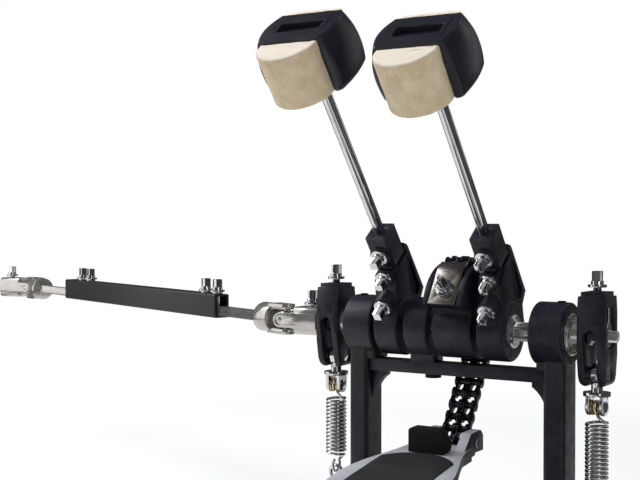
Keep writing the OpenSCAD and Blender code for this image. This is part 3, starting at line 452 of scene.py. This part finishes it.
def turned(name, profile, at, axis, body, slot, stands_for=()):
    """A piece turned on a lathe: profile is (along, radius) pairs, axis its direction."""
    bm = bmesh.new()
    lathe(bm, profile, 40)
    turn = Vector((0, 0, 1)).rotation_difference(Vector(axis)).to_matrix().to_4x4()
    bm.transform(Matrix.Translation(Vector(at) * MM) @ turn)
    into_scene(name, finish_bmesh(bm, name, 30), body, slot, stands_for=stands_for)


def thread(bm, at, z0, z1, radius, pitch=1.0, depth=0.32, around=20):
    """A threaded rod standing on the XY plane of at, with a true helix."""
    rows_a_turn = 4
    rows = round((z1 - z0) / pitch * rows_a_turn)
    grid = []
    for i in range(rows + 1):
        z = z0 + (z1 - z0) * i / rows
        ring = []
        for k in range(around):
            phase = ((z - z0) / pitch - k / around) % 1.0
            r = radius - depth * (1 if i in (0, rows) else abs(2 * phase - 1))
            a = 2 * pi * k / around
            ring.append(bm.verts.new((at + Vector((r * cos(a), r * sin(a), z))) * MM))
        grid.append(ring)
    walls(bm, grid)
    bm.faces.new(grid[0])
    bm.faces.new(grid[-1])


def hex_nut(bm, at, z0, h, r):
    """A six-sided nut with its corners taken off."""
    centre = (at + Vector((0, 0, z0 + h / 2))) * MM
    made = bmesh.ops.create_cone(bm, cap_ends=True, segments=6, radius1=r * MM, radius2=r * MM, depth=h * MM,
                                 matrix=Matrix.Translation(centre))
    edges = {e for v in made["verts"] for e in v.link_edges}
    bmesh.ops.bevel(bm, geom=list(edges), offset=0.5 * MM, offset_type="OFFSET", affect="EDGES", segments=2,
                    profile=0.5, material=-1, clamp_overlap=True)


def roller(side):
    """Grooved brass roller that carries the spring's hook, on a bolt with a head and a nut."""
    at = AXLE + Vector((ROCKER_X[side], 0, ROLLER))
    groove = [(z, 5.6 - (4.84 - z * z) ** 0.5) for z in (-2.0, -1.7, -1.2, -0.6, 0, 0.6, 1.2, 1.7, 2.0)]
    brass = [(-3.6, 2.6), (-3.6, 4.9), (-3.3, 5.2), (-2.15, 5.2), *groove, (2.15, 5.2), (3.3, 5.2),
             (3.6, 4.9), (3.6, 2.6), (-3.6, 2.6)]
    bolt = [(-7.4, 0), (-7.4, 3.7), (-7.0, 4.2), (-6.25, 4.2), (-6.25, 2.49), (6.25, 2.49), (6.25, 4.6),
            (6.7, 4.6), (7.2, 3.6), (7.45, 1.8), (7.5, 0)]
    turned(side + "_brass_roller", brass, at, (1, 0, 0), side + "_spring_top", "roller_brass",
           stands_for=[side + "_roller"])
    turned(side + "_roller_bolt", bolt, at, (1, 0, 0), side + "_spring_top", "bright_steel")


for side in ROCKER_X:
    roller(side)


def pocket_rims(side):
    """Raised lip round the pocket on both faces of a hub's arm."""
    sink, lip_r, rounded = 0.95, 0.75, 3.5
    plan = ((-0.2, 53.6), (17.6, 28.8), (14, 20.6), (6.6, 25.2), (3.2, 37), (-0.6, 48))
    corners = [Vector(p) for p in plan]
    loop = []
    for before, p, after in zip(corners[-1:] + corners[:-1], corners, corners[1:] + corners[:1]):
        a, b = (p.lerp(q, min(0.4, rounded / (p - q).length)) for q in (before, after))
        loop += [a.lerp(p, t).lerp(p.lerp(b, t), t) for t in (0, 0.25, 0.5, 0.75, 1)]
    low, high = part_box(side + "_hub")
    bm = bmesh.new()
    for x in (high.x / MM - sink, low.x / MM + sink):
        stations = []
        for i, p in enumerate(loop):
            way = (loop[(i + 1) % len(loop)] - loop[i - 1]).normalized()
            centre = (AXLE + Vector((x, p.x, p.y))) * MM
            stations.append((centre, Vector((0, way.y, -way.x)), Vector((1, 0, 0))))
        bar(bm, stations, lip_r * MM, 10, closed=True)
    name = side + "_pocket_rims"
    into_scene(name, finish_bmesh(bm, name, 60), nodes[side + "_hub"]["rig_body"], "cast_black")


for side in ROCKER_X:
    pocket_rims(side)


def anchors():
    """Threaded eye screws that hold the springs' lower hooks, with their nuts."""
    ring_r, eye_wire_r, steps = 5.2, 1.58, 48
    ways = [Vector((cos(2 * pi * i / steps), 0, sin(2 * pi * i / steps))) for i in range(steps)]
    bm = bmesh.new()
    for x in ROCKER_X.values():
        eye = AXLE + Vector((x, 0, EYE))
        ring = [((eye + ring_r * way) * MM, way, Vector((0, 1, 0))) for way in ways]
        bar(bm, ring, eye_wire_r * MM, 14, closed=True)
        thread(bm, eye, -36, -6, 3)
        for z in (-13, -25.5):
            hex_nut(bm, eye, z, 3.5, 5.8)
    into_scene("anchor_screws", finish_bmesh(bm, "anchor_screws", 30), nodes["spring_anchors"]["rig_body"],
               "bright_steel", stands_for=["spring_anchors"])


anchors()


def knurl(verts, teeth, depth, limit):
    """Straight knurling: two of a tooth's four steps go in by depth, where the radius is over a limit."""
    for v in verts:
        k = round(atan2(v.co.y, v.co.x) / (2 * pi) * 4 * teeth)
        r = v.co.xy.length
        if r > limit and k % 4 in (1, 2):
            v.co.xy *= (r - depth) / r


def spurs():
    """Pointed screws at the base's front corners: point, thread, nut on the plate, knurled knob."""
    point = [(1, 0), (1, 0.6), (4.1, 3.95), (4.6, 3.6), (4.6, 0)]
    knob = [(34, 0), (34, 6.0), (34.8, 6.9), (41.2, 6.9), (42, 6.0), (42, 3.4), (41.4, 3.0), (41.4, 0)]
    teeth = 36
    bm = bmesh.new()
    for x in (-84, 84):
        at = Vector((x, 39, 0))
        tip = lathe(bm, point, 32)
        grip = lathe(bm, knob, 4 * teeth)
        knurl(grip, teeth, 0.35 * MM, 6.5 * MM)
        bmesh.ops.translate(bm, verts=tip + grip, vec=at * MM)
        thread(bm, at, 3.6, 34.4, 3.98, 1.25, 0.4, 24)
        hex_nut(bm, at, 7.5, 6, 7.5)
    into_scene("spur_screws", finish_bmesh(bm, "spur_screws", 30), nodes["spurs"]["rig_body"], "bright_steel",
               stands_for=["spurs"])


spurs()

# ---------------------------------------------------------------- felts

# Each head's rise along its shaft, then the heads' height, half the depth of the web between their mouths,
# and half the mouths' width
RISE = {"left": 132, "right": 121}
HEAD_H, WEB, MOUTH = 41, 18, 22.1


def on_shaft(side):
    """From a head's own millimetres, origin at its foot on the shaft's axis, to the leaning shaft."""
    turn = side + "_head_turn"
    lean = Vector((0, 0, 1)).rotation_difference(Vector(joints[turn]["axis"])).to_matrix().to_4x4()
    return Matrix.Translation(pivot(turn)) @ lean @ Matrix.Translation((0, 0, RISE[side]))


def even(points, step):
    """The same closed outline with points about step apart."""
    out = []
    for a, b in zip(points, points[1:] + points[:1]):
        n = max(1, round((b - a).length / step))
        out += [a.lerp(b, i / n) for i in range(n)]
    return out


def inset(points, d):
    """A closed outline, anticlockwise, moved inwards by d."""
    out = []
    for i, p in enumerate(points):
        a, b = (p - points[i - 1]).normalized(), (points[(i + 1) % len(points)] - p).normalized()
        way = Vector((-(a.y + b.y), a.x + b.x)).normalized()
        out.append(p + way * min(d / max(way.dot(Vector((-a.y, a.x))), 0.5), 1.5 * d))
    return out


def pad(name, outline, z0, z1, roll, side, crown, seed):
    """A pressed felt pad: upright walls, rolled rims, gently crowned ends, a slightly uneven surface."""
    step = 1.1
    outline = even([Vector(p) for p in outline], step)
    quarter = [radians(90 * k / 5) for k in range(6)]
    rim = [(roll * (1 - sin(t)), roll * (1 - cos(t))) for t in reversed(quarter)]
    rows = round((z1 - z0 - 2 * roll) / step)
    layers = [(z0 + up, d) for up, d in rim]
    layers += [(z0 + roll + (z1 - z0 - 2 * roll) * i / rows, 0) for i in range(1, rows)]
    layers += [(z1 - up, d) for up, d in reversed(rim)]
    bm = bmesh.new()
    bottom, top = mould(bm, [(z, inset(outline, d) if d > 0.001 else outline) for z, d in layers])
    for ring, out in ((bottom, -1), (top, 1)):
        centre = sum((v.co for v in ring), Vector()) / len(ring)
        rise = Vector((0, 0, out * crown))
        cap = [[bm.verts.new(centre + (v.co - centre) * share + rise * (1 - share ** 2)) for v in ring]
               for share in (0.97, 0.9, 0.8, 0.68, 0.55, 0.4, 0.25, 0.1)]
        walls(bm, [ring] + cap)
        fan(bm, cap[-1], bm.verts.new(centre + rise))
    bm.normal_update()
    for v in bm.verts:
        at = v.co + Vector((seed, 0, 0))
        v.co += v.normal * (0.22 * unevenness.noise(at * 0.16) + 0.10 * unevenness.noise(at * 0.55))
    bm.transform(Matrix.Diagonal((MM, MM, MM, 1)) @ on_shaft(side))
    obj = into_scene(name, finish_bmesh(bm, name, 80), side + "_beater_head", "felt_beige")
    up = on_shaft(side).to_3x3() @ Vector((0, 0, 1))
    # Painted highlight: how strongly each vertex is painted paler, from how closely its normal follows the
    # shaft.
    painted_end_highlight = obj.data.attributes.new("painted_end_highlight", "FLOAT", "POINT")
    for v in obj.data.vertices:
        painted_end_highlight.data[v.index].value = 0.75 * max(0.0, min(1.0, (abs(v.normal.dot(up)) - 0.5) / 0.4))
    return obj


def felts(side, seed):
    """A head's two felts: the round striking face in front and the flat one behind."""
    face_r, face_y = 23.2, -17.5
    arc = [(face_r * cos(radians(a)), face_y - face_r * sin(radians(a))) for a in range(163, 16, -4)]
    front = [(MOUTH, -WEB - 0.2), (-MOUTH, -WEB - 0.2)]
    front += [p for p in arc if abs(p[0]) < MOUTH - 0.05 and p[1] < -24.6]
    back = [(-MOUTH, WEB + 0.2), (MOUTH, WEB + 0.2), (MOUTH, WEB + 3.2), (MOUTH - 1.4, WEB + 5.2),
            (MOUTH - 4, WEB + 6.3), (-MOUTH + 4, WEB + 6.3), (-MOUTH + 1.4, WEB + 5.2), (-MOUTH, WEB + 3.2)]
    striking = pad(side + "_front_felt", front, 1.2, HEAD_H - 1.4, 1.8, side, 0.3, seed)
    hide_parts(side + "_beater_felts")
    pad(side + "_back_felt", back, 1.2, HEAD_H - 1.4, 1.4, side, 0.2, seed + 40)


for side, seed in (("left", 0), ("right", 90)):
    felts(side, seed)

# ---------------------------------------------------------------- beater heads

# Width, length and corner radius at the lip, the wall and the base of the two recesses on top
RECESS = ((34.1, 12.0, 1.2), (33.3, 11.2, 1.0), (32.3, 10.2, 0.8))
GROOVE = ((1.1, 24.2, 0.4), (0.8, 24, 0.3), (0.5, 23.8, 0.2))


def head_outline(z, shrink):
    """Plan of a head at height z, anticlockwise from the right front mouth corner."""
    side_r, widest, seam = 56.8, 15.4, 0.14
    half = 30.4 - shrink - side_r + (side_r ** 2 - (z - widest) ** 2) ** 0.5
    if abs(z - widest) < 0.05:
        half -= seam
    swell = 1.6 + 2.4 * (max(z - widest, 0) / (HEAD_H - widest)) ** 2
    web = WEB - shrink
    depth = web + 0.25 + 1.7 * min(1, (HEAD_H - z) / 14)
    corner = 2.2 + 1.6 * (1 - z / HEAD_H)
    right = [(22.3, -web), (22.3, -depth + 0.2), (22.5, -depth)]
    right += [(half - corner + corner * sin(radians(t)), -depth + corner - corner * cos(radians(t)))
              for t in range(15, 90, 15)]
    reach = depth - corner
    right += [(half + swell * (1 - (y / reach) ** 2), y) for y in (reach * k / 8 for k in range(-8, 9))]
    right += [(half - corner + corner * cos(radians(t)), depth - corner + corner * sin(radians(t)))
              for t in range(15, 90, 15)]
    right += [(22.5, depth), (22.3, depth - 0.2), (22.3, web)]
    return [Vector(p) for p in right] + [Vector((-x, y)) for x, y in reversed(right)]


def ring_edges(bm, ring):
    """The edges along a closed ring of vertices."""
    pairs = zip(ring, ring[1:] + ring[:1])
    return [bm.edges.get(pair) or bm.edges.new(pair) for pair in pairs]


def fill(bm, edges, up):
    """A flat face inside closed rings of edges, facing up or down."""
    bmesh.ops.triangle_fill(bm, use_beauty=True, edges=edges, normal=(0, 0, up))


def slot_plan(x, y, w, h, r):
    """Outline of a round-cornered recess."""
    return [Vector((x + sx * (w / 2 - r) + r * cos(radians(t)), y + sy * (h / 2 - r) + r * sin(radians(t))))
            for sx, sy, first in ((1, 1, 0), (-1, 1, 90), (-1, -1, 180), (1, -1, 270))
            for t in range(first, first + 91, 30)]


def round_plan(x, y, r):
    """Outline of a round recess."""
    return [Vector((x + r * cos(radians(t)), y + r * sin(radians(t)))) for t in range(0, 360, 20)]


def beater_head(side):
    """Moulded body: swelling sides with a mould line, rounded foot, recess, groove and dimple on top."""
    foot_r, top_r, bore_r = 3.6, 1.1, 4.6
    bm = bmesh.new()
    layers = [(foot_r * (1 - cos(t)), foot_r * (1 - sin(t))) for t in map(radians, range(0, 91, 15))]
    layers += [(z, 0) for z in (6, 9, 12, 14.2, 15.2, 15.4, 15.6, 17, 20, 24, 28, 32, 36, 38.5)]
    layers += [(HEAD_H - top_r * (1 - sin(t)), top_r * (1 - cos(t))) for t in map(radians, range(0, 91, 30))]
    foot, top = mould(bm, [(z, head_outline(z, shrink)) for z, shrink in layers])
    recess = [slot_plan(0, 0, w, h, r) for w, h, r in RECESS]
    groove = [slot_plan(20.5, 1, w, h, r) for w, h, r in GROOVE]
    dimple = [round_plan(-21, 2, r) for r in (0.9, 0.75, 0.5)]
    top_edges = ring_edges(bm, top)
    for (lip, wall, base), bevel, deep in ((recess, 0.4, 4.2), (groove, 0.2, 0.9), (dimple, 0.15, 0.9)):
        rim, base_ring = mould(bm, [(HEAD_H, lip), (HEAD_H - bevel, wall), (HEAD_H - deep, base)])
        top_edges += ring_edges(bm, rim)
        fill(bm, ring_edges(bm, base_ring), 1)
    fill(bm, top_edges, 1)
    bore = round_plan(0, 0, bore_r)
    rim, base_ring = mould(bm, [(0, round_plan(0, 0, bore_r + 0.4)), (0.4, bore), (3, bore)])
    fill(bm, ring_edges(bm, base_ring), -1)
    fill(bm, ring_edges(bm, foot) + ring_edges(bm, rim), -1)
    bm.transform(Matrix.Diagonal((MM, MM, MM, 1)) @ on_shaft(side))
    name = side + "_head_moulding"
    into_scene(name, finish_bmesh(bm, name, 32), side + "_beater_head", "head_plastic",
               stands_for=[side + "_beater_body"])


for side in RISE:
    beater_head(side)

# ---------------------------------------------------------------- floor and light


def flat(name, matrix):
    """A square of unit size, placed by matrix."""
    bm = bmesh.new()
    bmesh.ops.create_grid(bm, x_segments=1, y_segments=1, size=0.5)
    bm.transform(matrix)
    mesh = bpy.data.meshes.new(name)
    bm.to_mesh(mesh)
    bm.free()
    obj = bpy.data.objects.new(name, mesh)
    scene.collection.objects.link(obj)
    return obj


def mixed(tree, factor, a, b):
    """Shader a where factor is 0, shader b where it is 1."""
    node = tree.nodes.new("ShaderNodeMixShader")
    for source, socket in zip((factor, a, b), node.inputs):
        tree.links.new(source, socket)
    return node.outputs[0]


def strips(tree, where):
    """Bright and dark strips along X, for polished metal to mirror."""
    across = tree.nodes.new("ShaderNodeSeparateXYZ")
    tree.links.new(where, across.inputs[0])
    spread = tree.nodes.new("ShaderNodeMapRange")
    spread.inputs["From Min"].default_value = -1
    tree.links.new(across.outputs["X"], spread.inputs["Value"])
    greys = tree.nodes.new("ShaderNodeValToRGB")
    tree.links.new(spread.outputs["Result"], greys.inputs[0])
    stops = greys.color_ramp.elements
    for i, (x, grey) in enumerate(((0.0, 0.08), (0.08, 0.85), (0.45, 0.95), (0.46, 0.10), (0.475, 0.10),
                                   (0.485, 0.40), (0.585, 0.40), (0.595, 1.0), (0.63, 1.0), (0.65, 0.07),
                                   (1.0, 0.07))):
        stop = stops[i] if i < 2 else stops.new(1.0)
        stop.position = x
        stop.color = (grey, grey, grey, 1)
    glow = tree.nodes.new("ShaderNodeEmission")
    tree.links.new(greys.outputs["Color"], glow.inputs["Color"])
    return glow.outputs[0]


def floor_finish():
    """Matt white that keeps the shadow and turns pure white further out; polished metal mirrors strips."""
    mat, tree, matt = start("floor_white", (0.9, 0.9, 0.9), 0.9)
    rays = tree.nodes.new("ShaderNodeLightPath").outputs
    where = tree.nodes.new("ShaderNodeTexCoord").outputs["Object"]
    away = tree.nodes.new("ShaderNodeVectorMath")
    away.operation = "LENGTH"
    tree.links.new(where, away.inputs[0])
    share = tree.nodes.new("ShaderNodeMath")
    share.operation = "MULTIPLY"
    tree.links.new(between(tree, away.outputs["Value"], 0.3, 0.95, 0, 1), share.inputs[0])
    tree.links.new(rays["Is Camera Ray"], share.inputs[1])
    white = tree.nodes.new("ShaderNodeEmission")
    white.inputs["Color"].default_value = (1, 1, 1, 1)
    near = mixed(tree, rays["Is Glossy Ray"], matt.outputs[0], strips(tree, where))
    seen = mixed(tree, share.outputs[0], near, white.outputs[0])
    tree.links.new(seen, tree.nodes["Material Output"].inputs["Surface"])
    return mat


def sky(tree, colour, strength):
    """Light from all round."""
    node = tree.nodes.new("ShaderNodeBackground")
    node.inputs["Color"].default_value = (*colour, 1)
    node.inputs["Strength"].default_value = strength
    return node.outputs[0]


def studio():
    """Soft cool light in the room, dim in mirror surfaces, and white behind everything."""
    world = bpy.data.worlds.new("studio")
    scene.world = world
    world.use_nodes = True
    tree = world.node_tree
    tree.nodes.remove(tree.nodes["Background"])
    rays = tree.nodes.new("ShaderNodeLightPath").outputs
    cool = (0.95, 0.97, 1.0)
    room = mixed(tree, rays["Is Glossy Ray"], sky(tree, cool, 0.42), sky(tree, cool, 0.06))
    seen = mixed(tree, rays["Is Camera Ray"], room, sky(tree, (1, 1, 1), 1.0))
    tree.links.new(seen, tree.nodes["World Output"].inputs["Surface"])


def softbox(name, at, aim, size, power, shine=True):
    """A rectangular lamp; without shine no surface mirrors it."""
    lamp = bpy.data.lights.new(name, "AREA")
    lamp.shape = "RECTANGLE"
    lamp.size, lamp.size_y = size
    lamp.energy = power
    obj = bpy.data.objects.new(name, lamp)
    obj.location = at
    obj.visible_glossy = shine
    obj.rotation_euler = (Vector(aim) - Vector(at)).to_track_quat("-Z", "Y").to_euler()
    scene.collection.objects.link(obj)


def card(name, at, aim, size, strength):
    """A board seen only by shiny surfaces: a reflector of the given strength."""
    turn = (Vector(aim) - Vector(at)).to_track_quat("Z", "Y").to_matrix().to_4x4()
    obj = flat(name, Matrix.Translation(at) @ turn @ Matrix.Diagonal((*size, 1, 1)))
    mat = bpy.data.materials.new(name)
    mat.use_nodes = True
    tree = mat.node_tree
    tree.nodes.remove(tree.nodes["Principled BSDF"])
    glow = tree.nodes.new("ShaderNodeEmission")
    glow.inputs["Strength"].default_value = strength
    tree.links.new(glow.outputs[0], tree.nodes["Material Output"].inputs["Surface"])
    obj.data.materials.append(mat)
    obj.visible_camera = obj.visible_diffuse = obj.visible_shadow = obj.visible_transmission = False


floor = flat("floor", Matrix.Scale(60, 4))
floor.data.materials.append(floor_finish())
studio()
card("left_board", (-1.25, -0.5, 0.55), (0, 0, 0.55), (1.1, 1.7), 1.2)
card("front_board", (-0.2, -1.5, 0.5), (0, 0, 0.5), (1.0, 1.4), 0.10)
card("right_back_board", (0.85, 1.75, 0.9), (0, 0, 0.5), (0.9, 1.0), 0.55)
card("upper_board", (-0.69, -0.53, 1.5), (0, 0, 0.2), (0.5, 0.5), 0.45)
card("high_board", (0.55, 0.75, 1.5), (0, 0, 0.2), (0.35, 0.6), 1.6)
card("right_strip", (0.98, -0.93, 0.5), (0, 0, 0.5), (0.30, 1.4), 1.1)
softbox("over_top", (-0.25, 0.05, 1.45), (0, 0, 0.2), (1.5, 0.9), 12.5, shine=False)
softbox("over_left", (-1.35, -0.3, 1.3), (0, 0, 0.2), (0.8, 0.8), 14)
softbox("fill", (1.3, -0.9, 0.9), (0, 0, 0.2), (0.5, 0.7), 2.2)

scene.view_settings.view_transform = "Standard"
